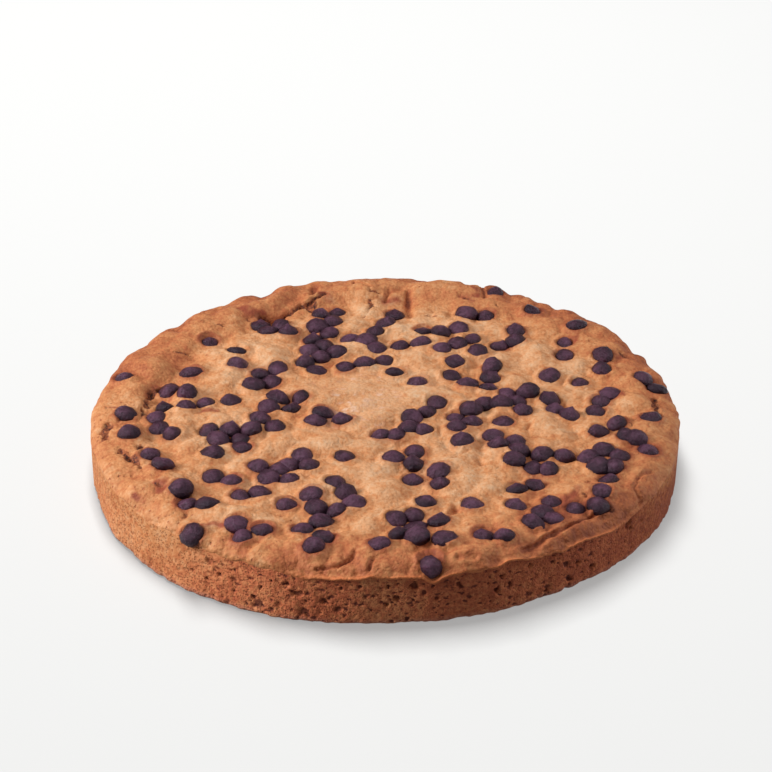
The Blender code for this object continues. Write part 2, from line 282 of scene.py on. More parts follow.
# Tears in the crust: from x, y to x, y, half width and depth, in millimetres.
TEARS = (
    (-65, 80, -62, 79, 1.4, 1.4), (-58, 83, -49, 85, 2.3, 3.0), (-49, 85, -42, 91, 1.9, 2.6),
    (-42, 91, -34, 95, 1.8, 2.2), (-35, 91, -33, 97, 1.9, 2.2), (-33, 98, -28, 102, 1.5, 1.8),
    (-21, 106, -18, 105, 1.4, 1.0), (-83, 73, -75, 72, 0.9, 0.9), (-97, 47, -86, 47, 1.0, 1.0),
    (-7, 97, -7, 90, 1.3, 1.6), (-7, 90, -10, 83, 1.2, 1.7), (-8, 104, -3, 103, 1.3, 1.1),
    (35, 101, 39, 96, 1.4, 1.2), (19, 85, 24, 84, 1.1, 1.1), (31, 80, 32, 78, 1.1, 1.2),
    (46, 84, 50, 80, 1.0, 1.3), (52, 92, 54, 91, 1.0, 1.0), (60, 74, 58, 70, 1.4, 1.3),
    (66, 64, 73, 67, 0.8, 0.8), (92, 57, 94, 52, 0.9, 1.2), (105, 46, 110, 43, 1.5, 2.0),
    (-103, 12, -100, 16, 2.1, 2.0), (-104, 8, -103, 2, 1.9, 1.8), (-105, -1, -103, -8, 1.6, 1.5),
    (-113, -14, -107, -12, 1.8, 1.3), (-119, -17, -119, -28, 2.1, 1.4), (-111, -37, -104, -47, 2.4, 1.8),
    (-104, -47, -102, -51, 1.8, 1.6), (-103, -33, -103, -37, 1.8, 1.5), (-93, -66, -90, -69, 1.3, 1.2),
    (104, -12, 107, -16, 1.0, 1.2), (104, -18, 105, -20, 1.0, 1.0), (117, 8, 117, -2, 1.3, 2.0),
    (117, -2, 118, -13, 0.8, 1.6), (90, -82, 92, -81, 1.5, 1.6), (76, -71, 80, -73, 1.7, 1.3),
    (84, -66, 87, -67, 1.0, 1.0), (61, -19, 63, -16, 0.8, 0.8), (-82, -91, -80, -87, 1.1, 1.0),
    (-78, -95, -75, -94, 1.2, 1.2),
)

# Creases where the dough folded or two puffs met, set down in the same way.
CREASES = (
    (54, -113, 60, -109, 1.3, 1.0), (60, -109, 66, -103, 1.5, 1.4), (66, -103, 71, -98, 1.5, 1.2),
    (71, -98, 77, -93, 1.6, 1.2), (77, -93, 89, -82, 1.5, 1.0), (-27, -123, -19, -123, 1.2, 0.8),
    (-19, -123, -13, -119, 1.2, 1.1), (-13, -119, -12, -115, 1.2, 0.8), (-6, -125, -5, -121, 1.3, 1.1),
    (28, -120, 34, -119, 1.6, 0.7), (103, -60, 101, -67, 1.2, 0.7), (103, -60, 109, -54, 1.2, 0.7),
    (101, -67, 104, -72, 1.2, 0.7), (-90, -49, -94, -61, 2.4, 0.8), (11, 106, 10, 97, 1.8, 1.3),
    (10, 97, 11, 86, 2.0, 1.0), (1, 106, 0, 99, 1.8, 0.9), (-35, 101, -33, 113, 1.8, 1.2),
    (-15, 113, -8, 106, 1.7, 1.0), (45, 111, 47, 100, 1.7, 1.2), (25, -86, 28, -83, 2.0, 1.1),
    (40, -48, 37, -43, 2.0, 0.8), (60, -19, 63, -15, 1.6, 0.9), (76, 6, 79, 2, 1.8, 1.0),
    (76, -23, 81, -21, 1.6, 0.9), (43, -104, 47, -110, 1.7, 0.5), (-56, -112, -48, -104, 1.7, 0.6),
    (28, -45, 34, -38, 1.8, 0.7),
)

# A tear this deep, in millimetres, shows its dark inside in full, and a shallower one less of it; the
# dark is partly painted shade.
FULL_DEPTH = 1.6

# Stains where a chip smeared or butter ran out: from x, y to x, y and half width.
STAINS = (
    (-79, -5, -74, -5, 1.9), (-68, 86, -58, 85, 3.0), (-118, -1, -114, -3, 1.6),
    (-93, -66, -90, -70, 2.8), (-103, 12, -100, 17, 2.4), (-31, 103, -26, 98, 3.2),
    (35, 100, 40, 96, 2.6), (42, 107, 43, 101, 2.0), (0, 98, 5, 99, 3.0), (71, -80, 78, -71, 2.6),
    (-73, -94, -62, -96, 2.4), (101, 12, 103, 8, 1.8), (104, 44, 110, 43, 2.0), (86, 57, 87, 60, 1.6),
    (-102, -71, -100, -73, 1.0), (60, 77, 64, 72, 1.8),
)


def random_share(column, row, layer, seed):
    """An even random number from 0 to 1 for each cell of whole-numbered steps."""
    turns = np.sin(column * 12.9898 + row * 78.233 + layer * 37.719 + seed * 11.135)
    return (turns * 43758.5453) % 1.0


def smooth(share):
    """A rise from 0 to 1 with both its ends eased, the share squared times three less twice it."""
    return share * share * (3.0 - 2.0 * share)


def solid_noise(place, size, seed, octaves=1):
    """Smooth noise from -1 to 1 in space: random values at the corners of cubes of one size,
    eased between. Each further octave is half the size and half as strong."""
    total, reach = 0.0, 0.0
    for octave in range(octaves):
        grid = place / (size / 2**octave) + 17.3 * octave
        cell = np.floor(grid)
        part = grid - cell
        ease = smooth(part)
        value = 0.0
        for corner in range(8):
            step = np.array([corner & 1, (corner >> 1) & 1, (corner >> 2) & 1], float)
            near = np.where(step > 0.5, ease, 1.0 - ease).prod(axis=-1)
            spot = cell + step
            value = value + near * random_share(spot[..., 0], spot[..., 1], spot[..., 2], seed + octave)
        total = total + (2.0 * value - 1.0) * 0.5**octave
        reach += 0.5**octave
    return total / reach


def pores(place, size, share, seed):
    """Depth in round pores, 0 outside and 1 in the middle: space is cut in cubes of one size,
    and a share of them hold one pore each, of its own place and from 0.22 to 0.64 as wide."""
    grid = place / size
    cell = np.floor(grid)
    deep = np.zeros(place.shape[:-1])
    for corner in range(27):
        spot = cell + np.array([corner % 3, corner // 3 % 3, corner // 9], float) - 1.0
        draw = [random_share(spot[..., 0], spot[..., 1], spot[..., 2], seed + 5 * k) for k in range(5)]
        centre = spot + np.stack(draw[:3], axis=-1)
        width = 0.22 + 0.42 * draw[3] ** 2
        away = ((grid - centre) ** 2).sum(axis=-1) / width**2
        deep = np.maximum(deep, np.where(draw[4] < share, 1.0 - away, 0.0))
    return deep


def segment_distance(x, y, start_x, start_y, end_x, end_y):
    """Distance from each point to a straight stretch."""
    run_x, run_y = end_x - start_x, end_y - start_y
    share = ((x - start_x) * run_x + (y - start_y) * run_y) / (run_x**2 + run_y**2)
    share = np.clip(share, 0.0, 1.0)
    return np.hypot(x - start_x - share * run_x, y - start_y - share * run_y)


def furrows(x, y, stretches, wander, wave, seed):
    """Depth of furrows at x and y, in metres, and how deep inside one each point lies, from 0 to
    1. Each runs from end to end but for a wander, and its width comes and goes. It is full out
    to 0.45 of its half width and gone at 1.45 of it."""
    place = np.stack([x, y, np.zeros_like(x)], axis=-1)
    warp_x = wander * solid_noise(place, wave, seed, 2)
    warp_y = wander * solid_noise(place, wave, seed + 6, 2)
    swell = 0.8 + 0.5 * solid_noise(place, 1.4 * wave, seed + 10)
    depth, inside = np.zeros_like(x), np.zeros_like(x)
    for start_x, start_y, end_x, end_y, width, deep in stretches:
        ends = (v * MM for v in (start_x, start_y, end_x, end_y))
        away = segment_distance(x + warp_x, y + warp_y, *ends) / (width * MM * swell)
        gap = np.clip(1.45 - away, 0.0, 1.0)
        depth = np.maximum(depth, deep * MM * smooth(gap))
        inside = np.maximum(inside, gap * min(deep / FULL_DEPTH, 1.0))
    return depth, inside


def new_mesh(name, points, faces, attributes):
    """A smooth-shaded mesh object from points, lists of faces and per-point numbers."""
    mesh = bpy.data.meshes.new(name)
    mesh.from_pydata(points.tolist(), [], faces)
    for label, values in attributes.items():
        layer = mesh.attributes.new(label, "FLOAT", "POINT")
        layer.data.foreach_set("value", np.ascontiguousarray(values, np.float32).ravel())
    mesh.shade_smooth()
    piece = bpy.data.objects.new(name, mesh)
    bpy.context.scene.collection.objects.link(piece)
    return piece


def border_loop(cells):
    """Indices of a square grid's border, once round, anticlockwise from its first corner."""
    index = np.arange((cells + 1) ** 2).reshape(cells + 1, cells + 1)
    return np.concatenate([index[:-1, 0], index[-1, :-1], index[:0:-1, -1], index[0, :0:-1]])


def ring_faces(first, second):
    """Quads between two rings of the same number of points."""
    return np.stack([first, second, np.roll(second, -1), np.roll(first, -1)], axis=1)


def round_points(radius, angle, level):
    """Points at a radius, an angle round the cake and a level."""
    return np.stack([radius * np.cos(angle), radius * np.sin(angle), np.full_like(angle, level)], axis=-1)


def ramp_up(values, start, width):
    """0 up to a start, then evenly up to 1 over a width."""
    return np.clip((values - start) / width, 0.0, 1.0)


def bell(values, middle, width):
    """1 at a middle, with a bell's fall on both sides: e to the minus square of the widths away."""
    return np.exp(-(((values - middle) / width) ** 2))


def turned_from(angle, middle):
    """The shorter way round from a middle to each angle, with its sign."""
    return (angle - middle + np.pi) % (2.0 * np.pi) - np.pi


def outside_arc(angle, middle, half_spread, fade):
    """0 on an arc round the cake and 1 off it, with a fade at both ends."""
    return np.clip((np.abs(turned_from(angle, middle)) - half_spread) / fade + 0.5, 0.0, 1.0)


def skin_share(angle):
    """How far the crust runs on down the wall at an angle round the cake: 0 across the front,
    where the crumb is open, and 1 on the other sides."""
    return outside_arc(angle, OPEN_MIDDLE, OPEN_HALF_SPREAD, OPEN_FADE)


def lip_gone(angle):
    """0 where the crust ends in a lip that stands out over the crumb, and 1 where it doesn't."""
    return outside_arc(angle, LIP_MIDDLE, LIP_HALF_SPREAD, LIP_FADE)


def ragged_lip(angle):
    """Height of the lip with its small tears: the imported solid's lip, two finer waves, and one
    tongue that runs down under the chip at the front edge."""
    around = round_points(RADIUS, angle, 0.0)
    waves = LIP_TEAR * solid_noise(around, LIP_TEAR_WIDTH, 43, 2)
    waves = waves + LIP_NICK * solid_noise(around, LIP_NICK_WIDTH, 44)
    tongue = TONGUE_DROP * np.clip(1.0 - np.abs(angle - TONGUE_ANGLE) / TONGUE_SPREAD, 0.0, 1.0) ** 1.2
    return lip_height(angle) + waves * (1.0 - 0.6 * skin_share(angle)) - tongue


def ragged_outline(angle):
    """Radius of the crust above the lip, with finer bulges on it."""
    bulges = BULGE * (solid_noise(round_points(RADIUS, angle, 0.0), BULGE_WIDTH, 45, 2) - 1.0)
    return outline_radius(angle) + bulges - FRONT_INSET * (1.0 - lip_gone(angle))


def pillows(place, size, seed, power):
    """Round swellings with sharp creases between them: smooth noise without its sign, raised to
    a power under one."""
    return np.abs(solid_noise(place, size, seed)) ** power


# The grid over a square, carried onto the disc, over the shoulder and down to the lip. A turn is
# the angle on the shoulder's quarter ellipse, and out and up are the way the shoulder faces.
line = np.linspace(-1.0, 1.0, CRUST_CELLS + 1)
u, v = np.meshgrid(line, line, indexing="ij")
disc_x, disc_y = u * np.sqrt(1.0 - 0.5 * v * v), v * np.sqrt(1.0 - 0.5 * u * u)
angle = np.arctan2(disc_y, disc_x)
inner = RADIUS - SHOULDER_WIDTH
path = np.minimum(np.hypot(disc_x, disc_y), 1.0) * (inner + SHOULDER_PATH)
turn = ramp_up(path, inner, SHOULDER_PATH) * 0.5 * np.pi
even = np.where(turn > 0.0, RADIUS - SHOULDER_WIDTH * (1.0 - np.sin(turn)), path)
x, y = even * np.cos(angle), even * np.sin(angle)
height = dough_height(x, y) + (ragged_lip(angle) - lip_height(angle)) * (1.0 - np.cos(turn))
drop = RIM_HEIGHT - ragged_lip(angle)
slope = np.hypot(drop * np.sin(turn), SHOULDER_WIDTH * np.cos(turn))
out, up = drop * np.sin(turn) / slope, SHOULDER_WIDTH * np.cos(turn) / slope
flat = np.stack([x, y, np.zeros_like(x)], axis=-1)
place = np.stack([x, y, height], axis=-1)
open_front, lip_there = 1.0 - skin_share(angle), 1.0 - lip_gone(angle)

# How each chip came to lie: its size and turn, how far it leans and to which side, and how deep.
SIZE_LEAST, SIZE_MOST = 0.90, 1.08
USUAL_LEAN = math.radians(13.0)
draw = np.random.default_rng(CHIP_SEED)
size = draw.uniform(SIZE_LEAST, SIZE_MOST, len(CHIPS))
turned = draw.uniform(0.0, 2.0 * np.pi, len(CHIPS))
lean = np.abs(draw.normal(0.0, USUAL_LEAN, len(CHIPS)))
towards = draw.uniform(0.0, 2.0 * np.pi, len(CHIPS))
sunk = draw.uniform(-SINK_SPREAD, SINK_SPREAD, len(CHIPS))

nearest, dent = np.full_like(x, 1.0), np.zeros_like(x)
for (chip_x, chip_y), depth in zip(CHIPS, np.clip(sunk, 0.0, None)):
    away = np.hypot(x - chip_x, y - chip_y)
    nearest = np.minimum(nearest, away)
    dent = np.maximum(dent, depth * np.exp(-((away / DENT_REACH) ** 4)))

# Clods stray from their places and come in patches. Pleats are noise round the rim, drawn out
# inwards, and wrinkles are noise drawn out upwards.
collar = bell(nearest, COLLAR_REACH, COLLAR_WIDTH)
lively = ramp_up(np.hypot(x - BALD_X, y - BALD_Y), BALD_RADIUS, BALD_FADE)
rimward = ramp_up(even, RIM_START, RIM_FADE)
billow = pillows(flat, BILLOW_WIDTH, 52, 0.7) - 0.5
cloddy = np.clip(0.55 + 1.2 * solid_noise(flat, CLOD_PATCH, 58), 0.0, 1.0)
strayed = flat + CLOD_WANDER * solid_noise(flat, CLOD_WAVE, 60)[..., None]
clods = pillows(strayed, CLOD_WIDTH, 59, 0.6) - 0.5
lumps = solid_noise(place, LUMP_WIDTH, 57, 2)
round_rim = np.stack([RADIUS * angle, 0.4 * even, np.zeros_like(x)], axis=-1)
pleats = (pillows(round_rim, PLEAT_WIDTH, 66, 0.7) - 0.4) * open_front
wrinkle = solid_noise(place * [1.0, 1.0, 0.6], WRINKLE_WIDTH, 53, 2)
ragged = solid_noise(place, GRAIN_WIDTH, 54)
crumbs = solid_noise(place, CRUMB_WIDTH, 63)
torn, opened = furrows(x, y, TEARS, TEAR_WANDER, TEAR_WAVE, 31)
folded, crease_shade = furrows(x, y, CREASES, CREASE_WANDER, CREASE_WAVE, 131)
full_stains = [(*row, FULL_DEPTH) for row in STAINS]
stained = furrows(x, y, full_stains, STAIN_WANDER, STAIN_WAVE, 151)[1]
bedding = np.clip((BEDDING_REACH - nearest) / BEDDING_FADE, 0.0, 1.0)
calm = 1.0 - BEDDING_CALM * bedding

fine = (
    COLLAR_HEIGHT * collar * (0.55 + 0.45 * solid_noise(place, COLLAR_PATCH, 51))
    + BEDDING_HEIGHT * bedding
    + BILLOW_HEIGHT * billow * lively * calm * (1.0 + 0.5 * rimward * open_front)
    + CLOD_HEIGHT * clods * cloddy * lively * calm
    + LUMP_HEIGHT * lumps * rimward * calm
    - DENT_GAIN * dent
    + PLEAT_HEIGHT * pleats * ramp_up(even, PLEAT_START, PLEAT_FADE)
    + WRINKLE_HEIGHT * wrinkle * (0.25 + 0.75 * rimward)
    + GRAIN_HEIGHT * ragged * (0.35 + 0.65 * lively)
    + CRUMB_HEIGHT * crumbs * opened
    - torn * np.clip(0.7 + 1.3 * ragged, 0.1, 1.5)
    - FOLD_GAIN * folded
    - HANG_DENT * bell(np.hypot(x - HANG_X, y - HANG_Y), 0.0, HANG_WIDTH)
)
to_lip = 0.5 * np.pi - turn
fine = fine * np.clip(to_lip / EDGE_TURN, 0.0, 1.0)
# The band along the lip's edge that takes a painted highlight.
lip_band = bell(to_lip, 0.0, LIP_HIGHLIGHT_TURN) * lip_there
flange = np.clip(1.0 - to_lip / FLANGE_TURN, 0.0, 1.0) * lip_there
tucked = (ragged_outline(angle) - outline_radius(angle)) * np.sin(turn)
spread = (outline_radius(angle) + tucked + FLANGE_REACH * flange**1.5) / RADIUS
reach = np.minimum((even + fine * out) * spread, outline_radius(angle) - EDGE_MARGIN)
top = round_points(reach, angle, height + fine * up + CURL_HEIGHT * flange**2).reshape(-1, 3)

# Under the lip, rings run back in from its edge to a flat underside that never shows.
border = border_loop(CRUST_CELLS)
rim_angle = angle.reshape(-1)[border]
edge, lip, no_lip = ragged_outline(rim_angle), ragged_lip(rim_angle), lip_gone(rim_angle)
brim = lip + (CURL_HEIGHT - CURL_TUCK) * (1.0 - no_lip)
under_edge = edge + (FLANGE_REACH - FLANGE_TUCK) * (1.0 - no_lip) - WRAP_TUCK * no_lip
lip_rings = (
    round_points(under_edge, rim_angle, brim - LIP_THICKNESS),
    round_points(edge - UNDER_INSETS[0], rim_angle, brim - LIP_THICKNESS * (1.2 + 1.4 * no_lip)),
    round_points(edge - UNDER_INSETS[1], rim_angle, brim - LIP_THICKNESS * (1.3 + 1.5 * no_lip)),
    round_points(edge - UNDER_INSETS[2], rim_angle, CRUST_UNDERSIDE),
)
points = np.vstack([top, *lip_rings, [[0.0, 0.0, CRUST_UNDERSIDE]]])
index = np.arange((CRUST_CELLS + 1) ** 2).reshape(CRUST_CELLS + 1, CRUST_CELLS + 1)
quads = np.stack([index[:-1, :-1], index[1:, :-1], index[1:, 1:], index[:-1, 1:]], axis=-1)
rings = [border] + [len(top) + len(border) * k + np.arange(len(border)) for k in range(len(lip_rings))]
bands = [ring_faces(first, second) for first, second in zip(rings, rings[1:])]
fan = np.stack([rings[-1], np.full(len(border), len(points) - 1), np.roll(rings[-1], -1)], axis=1)
faces = quads.reshape(-1, 4).tolist() + np.vstack(bands).tolist() + fan.tolist()

# How brown the crust is: more towards the rim, the lip and the back, less on the bald middle and the
# left, and unevenly, in patches and specks. It is also browner round each chip and in creases, which is
# painted shade, and browner in hollows and paler on the puffs, partly as painted shade.
BROWN_START, BROWN_FADE = 88.0 * MM, 34.0 * MM
BROWN_PATCH, BROWN_SPECK = 30.0 * MM, 7.0 * MM
LIP_BROWN_START, LIP_BROWN_FADE = 116.0 * MM, 9.0 * MM
# Painted shade: a browner ring round each chip, this far from its middle and this wide.
CHIP_SHADE_REACH, CHIP_SHADE_WIDTH = 4.4 * MM, 1.3 * MM
MOUND_HEIGHT = 2.5 * MM
LEFT_MIDDLE, LEFT_SPREAD = math.radians(-142.0), math.radians(42.0)

mound = (height + fine * up - crown_height(x, y)) / MOUND_HEIGHT
leftward = bell(turned_from(angle, LEFT_MIDDLE), 0.0, LEFT_SPREAD)
browned = (
    0.37
    + 0.33 * ramp_up(even, BROWN_START, BROWN_FADE)
    + 0.15 * solid_noise(flat, BROWN_PATCH, 61, 2)
    + 0.13 * solid_noise(flat, BROWN_SPECK, 62, 2)
    # Browner in hollows and paler on the puffs: partly painted shade.
    - 0.10 * mound
    - 0.05 * (1.0 - lively)
    - 0.15 * leftward * rimward
    # Painted shade round each chip's foot.
    + 0.14 * bell(nearest, CHIP_SHADE_REACH, CHIP_SHADE_WIDTH)
    # Browner in creases: painted shade.
    + 0.27 * crease_shade**1.5
    + 0.07 * open_front * ramp_up(even, LIP_BROWN_START, LIP_BROWN_FADE)
    + 0.10 * rimward * np.clip(np.sin(angle) * 2.0, 0.0, 1.0)
)
browned = np.clip(browned, 0.0, 1.0)

# Pores show on the left shoulder and in patches of the rim, the dough next to the chips is darker in
# patches, partly where butter ran out and partly as painted shade, and flour stayed in patches of the
# bald middle.
PORE_START, PORE_FADE, PORE_PATCH = 108.0 * MM, 18.0 * MM, 20.0 * MM
BESIDE_REACH, BESIDE_FADE, BESIDE_PATCH = 4.8 * MM, 2.2 * MM, 15.0 * MM
FLOUR_PATCH = 9.0 * MM

pored = rimward * (0.03 + 0.25 * leftward * ramp_up(even, PORE_START, PORE_FADE) ** 2)
pored = pored + rimward * 0.16 * np.clip(solid_noise(place, PORE_PATCH, 55), 0.0, 1.0)
# Darker dough next to the chips: partly butter that ran out, partly painted shade.
chip_smear_and_shade = 1.0 - ramp_up(nearest, BESIDE_REACH, BESIDE_FADE)
chip_smear_and_shade = chip_smear_and_shade * np.clip(0.45 + 0.35 * rimward + 1.2 * solid_noise(flat, BESIDE_PATCH, 64), 0.0, 1.0)
floury = (1.0 - lively) * np.clip(0.3 + 1.5 * solid_noise(flat, FLOUR_PATCH, 65, 2), 0.0, 1.0)
extra = len(points) - len(top)


def with_rim(values, rim_value):
    """The top's numbers, followed by one number for all the points under the lip."""
    return np.concatenate([np.clip(values, 0.0, 1.0).reshape(-1), np.full(extra, rim_value)])


crust = new_mesh(
    "crust",
    points,
    faces,
    {
        "browned": with_rim(browned, 0.8),
        "opened": with_rim(opened * (0.85 + 0.7 * ragged), 0.0),
        # Real stains, and next to the chips a darkening that is partly painted shade.
        "stained": with_rim(np.maximum(0.75 * chip_smear_and_shade, stained), 0.0),
        "pored": with_rim(pored, 0.0),
        "floury": with_rim(floury, 0.0),
        # The rings under the lip take part of the lip's painted highlight.
        "lip_band": with_rim(lip_band, 0.6),
    },
)


def linear(code):
    """An sRGB hex colour as linear red, green, blue and an alpha of one."""
    parts = [int(code[k : k + 2], 16) / 255.0 for k in (1, 3, 5)]
    return [p / 12.92 if p <= 0.04045 else ((p + 0.055) / 1.055) ** 2.4 for p in parts] + [1.0]


def start_material(name):
    """A new material, its node tree and its Principled shader."""
    made = bpy.data.materials.new(name)
    made.use_nodes = True
    return made, made.node_tree, made.node_tree.nodes["Principled BSDF"]


def add(tree, kind, settings=None, links=None):
    """Adds a shader node: settings are its properties, or socket values where the name is a
    socket's number or label, and links join its inputs to sockets or to nodes' first outputs."""
    node = tree.nodes.new("ShaderNode" + kind)
    for key, value in (settings or {}).items():
        if isinstance(key, int) or key in node.inputs:
            node.inputs[key].default_value = value
        else:
            setattr(node, key, value)
    for key, source in (links or {}).items():
        socket = source.outputs[0] if isinstance(source, bpy.types.Node) else source
        tree.links.new(socket, node.inputs[key])
    return node


def lay_stops(band, stops):
    """Lays (position, hex colour) stops on a colour band."""
    while len(band.elements) < len(stops):
        band.elements.new(0.5)
    for element, (position, code) in zip(band.elements, stops):
        element.position = position
        element.color = linear(code)


def bubble_holes(tree, spot, share, size, least, most):
    """Mask of small bubbles, 1 in each middle: the distance to the nearest of a random spread
    of points, over a width that differs from bubble to bubble. A share of them are there."""
    cells = add(tree, "TexVoronoi", {"Scale": 1.0 / size}, {"Vector": spot})
    own = add(tree, "SeparateColor", links={0: cells.outputs["Color"]})
    width = add(tree, "Math", {"operation": "MULTIPLY_ADD", 1: most - least, 2: least}, {0: own})
    part = add(tree, "Math", {"operation": "DIVIDE"}, {0: cells, 1: width})
    eased = {"interpolation_type": "SMOOTHSTEP", 1: 0.5, 2: 1.0, 3: 1.0, 4: 0.0}
    mask = add(tree, "MapRange", eased, {0: part})
    there = add(tree, "Math", {"operation": "LESS_THAN"}, {0: own.outputs[1], 1: share})
    return add(tree, "Math", {"operation": "MULTIPLY"}, {0: mask, 1: there})


BAKED_STOPS = ((0.0, "#DCB18A"), (0.30, "#D89F71"), (0.55, "#CB8653"), (0.80, "#B4663B"), (1.0, "#8C4425"))
TORN_AND_SHADE_STOPS = ((0.36, "#3A1810"), (0.50, "#7A3A1F"), (0.66, "#AE6438"))

# Widths of the patterns. Real grains of sugar are half as wide or less, too fine to show, so
# they are drawn this coarse.
BLOTCH_SIZE = 4.2 * MM
PEBBLE_SIZE = 1.9 * MM
GRAIN_SIZE = 1.2 * MM
PINHOLE_SIZE = 1.7 * MM
PINHOLE_BEND = 1.0 * MM

# Baked cookie crust: dull, dry and grainy with sugar, golden where it is thick and high and red-brown
# where the butter and the chips have run into it, and darker in hollows, creases, tears and pores and
# round the chips as painted shade.
baked_crust, tree, shader = start_material("baked_cookie_crust")
spot = add(tree, "TexCoord").outputs["Object"]
bake, gap, stain, pore_share, flour, lip_lit = (
    add(tree, "Attribute", {"attribute_name": label}).outputs["Fac"]
    for label in ("browned", "opened", "stained", "pored", "floury", "lip_band")
)
blotch = add(tree, "TexNoise", {"Scale": 1.0 / BLOTCH_SIZE, "Detail": 3.0}, {"Vector": spot})
grain = add(tree, "TexNoise", {"Scale": 1.0 / GRAIN_SIZE, "Detail": 2.0}, {"Vector": spot})
rounded = {"feature": "SMOOTH_F1", "Scale": 1.0 / PEBBLE_SIZE, "Smoothness": 0.35}
pebbles = add(tree, "TexVoronoi", rounded, {"Vector": spot})
bending = {"operation": "MULTIPLY_ADD", 1: (PINHOLE_BEND, PINHOLE_BEND, PINHOLE_BEND)}
bent = add(tree, "VectorMath", bending, {0: grain.outputs["Color"], 2: spot})
pinholes = bubble_holes(tree, bent, pore_share, PINHOLE_SIZE, 0.18, 0.50)

# The tone is how brown the crust is, unsettled by blotches, pebbles and grains, less so where brown.
# The pebbles darken the creases between them, which is painted shade.
mottled = add(tree, "Math", {"operation": "MULTIPLY_ADD", 1: 0.9, 2: -0.55}, {0: blotch})
mottled = add(tree, "Math", {"operation": "MULTIPLY_ADD", 1: 0.22}, {0: pebbles, 2: mottled})
grainy = add(tree, "Math", {"operation": "MULTIPLY_ADD", 1: 0.7, 2: -0.35}, {0: grain})
uneven = add(tree, "Math", {"operation": "ADD"}, {0: mottled, 1: grainy})
evener = add(tree, "Math", {"operation": "MULTIPLY_ADD", 1: -0.8, 2: 1.2}, {0: bake})
toned = add(tree, "Math", {"operation": "MULTIPLY_ADD", "use_clamp": True}, {0: uneven, 1: evener, 2: bake})
colour = add(tree, "ValToRGB", links={0: toned})
lay_stops(colour.color_ramp, BAKED_STOPS)

# Over it lie flour, smears that next to the chips are partly painted shade, and pinholes darkened as
# painted shade, then the torn places, dark inside partly as painted shade, and a painted highlight along
# the edge of the lip.
dusting = add(tree, "MapRange", {"interpolation_type": "SMOOTHSTEP", 1: 0.50, 2: 0.68, 4: 0.6}, {0: blotch})
dusted = add(tree, "Math", {"operation": "MULTIPLY"}, {0: flour, 1: dusting})
# Smears: real stains, and next to the chips partly painted shade.
smear_and_shade = add(tree, "Math", {"operation": "MULTIPLY_ADD", 1: 1.9, 2: -0.1}, {0: stain})
smear_and_shade = add(tree, "Math", {"operation": "MULTIPLY", "use_clamp": True}, {0: smear_and_shade, 1: blotch})
# Pinholes are coloured darker inside: painted shade.
for code, mask in (("#EBCDB6", dusted), ("#94452A", smear_and_shade), ("#B5673F", pinholes)):
    colour = add(tree, "Mix", {"data_type": "RGBA", 7: linear(code)}, {0: mask, 6: colour}).outputs[2]
# Inside the tears: crumb, darker the deeper the tear, partly painted shade.
torn_and_shaded = add(tree, "Math", {"operation": "MULTIPLY_ADD", 1: 1.3}, {0: gap, 2: grainy})
torn_and_shaded = add(tree, "Math", {"operation": "ADD"}, {0: torn_and_shaded, 1: mottled})
torn_and_shaded = add(tree, "MapRange", {"interpolation_type": "SMOOTHSTEP", 1: 0.42, 2: 0.82}, {0: torn_and_shaded})
inside = add(tree, "ValToRGB", links={0: grain})
lay_stops(inside.color_ramp, TORN_AND_SHADE_STOPS)
colour = add(tree, "Mix", {"data_type": "RGBA"}, {0: torn_and_shaded, 6: colour, 7: inside}).outputs[2]
# Painted highlight: a brighter orange band along the lip's edge.
lip_highlight_share = add(tree, "Math", {"operation": "MULTIPLY", 1: 0.75}, {0: lip_lit})
lip_highlight_colour = {"data_type": "RGBA", 7: linear("#E2814A")}
colour = add(tree, "Mix", lip_highlight_colour, {0: lip_highlight_share, 6: colour}).outputs[2]
tree.links.new(colour, shader.inputs["Base Color"])

# Relief finer than the mesh, each laid on the one before: strength, depth in millimetres,
# whether it goes in, and the pattern.
below = {}
for strength, depth, inwards, pattern in (
    (0.8, 0.4, True, pinholes),
    (0.85, 0.55, False, grain),
    (0.4, 0.6, True, pebbles),
    (0.4, 1.0, False, blotch),
):
    settings = {"Strength": strength, "Distance": depth * MM, "invert": inwards}
    below = {"Normal": add(tree, "Bump", settings, {"Height": pattern, **below})}
tree.links.new(below["Normal"].outputs[0], shader.inputs["Normal"])
shader.inputs["Roughness"].default_value = 0.68
shader.inputs["Specular IOR Level"].default_value = 0.35
crust.data.materials.append(baked_crust)
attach(crust, "root")
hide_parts("cookie_cake")

# ---------------------------------------------------------------------------------------------
# The crumb. The wall of the cookie stood against the tin. Across the front it is open, pitted
# crumb, toasted brown, and on the other sides the crust runs down over it with pores that grow
# towards the foot. The foot is pressed and pale, and the underside baked flat.
# ---------------------------------------------------------------------------------------------

WALL_STEPS = 1640
WALL_ROWS = 50
WALL_TOP = 15.0 * MM

# The wall starts a little under the lip, leans in towards a ragged foot, and stands back from
# the crust by more at the lip than where the crust runs down over it.
LIP_LAP = 0.4 * MM
WRAP_SETBACK = 0.1 * MM
WALL_DRAFT = 0.3 * MM
FOOT_HEIGHT = 3.2 * MM
FOOT_WANDER = 0.7 * MM
FOOT_WAVE, FOOT_NICK = 10.0 * MM, 2.6 * MM

# Lumps are cut off this far behind the crust's edge, and this much further down to the foot.
PROUD_LIMIT, PROUD_DRAFT = 0.02 * MM, 0.4 * MM

# The hidden rings over the wall: how far in each lies, and how far under the lip.
TOP_INSET = 5.5 * MM
TUCK_INSET, TUCK_DROP = 0.1 * MM, 0.15 * MM

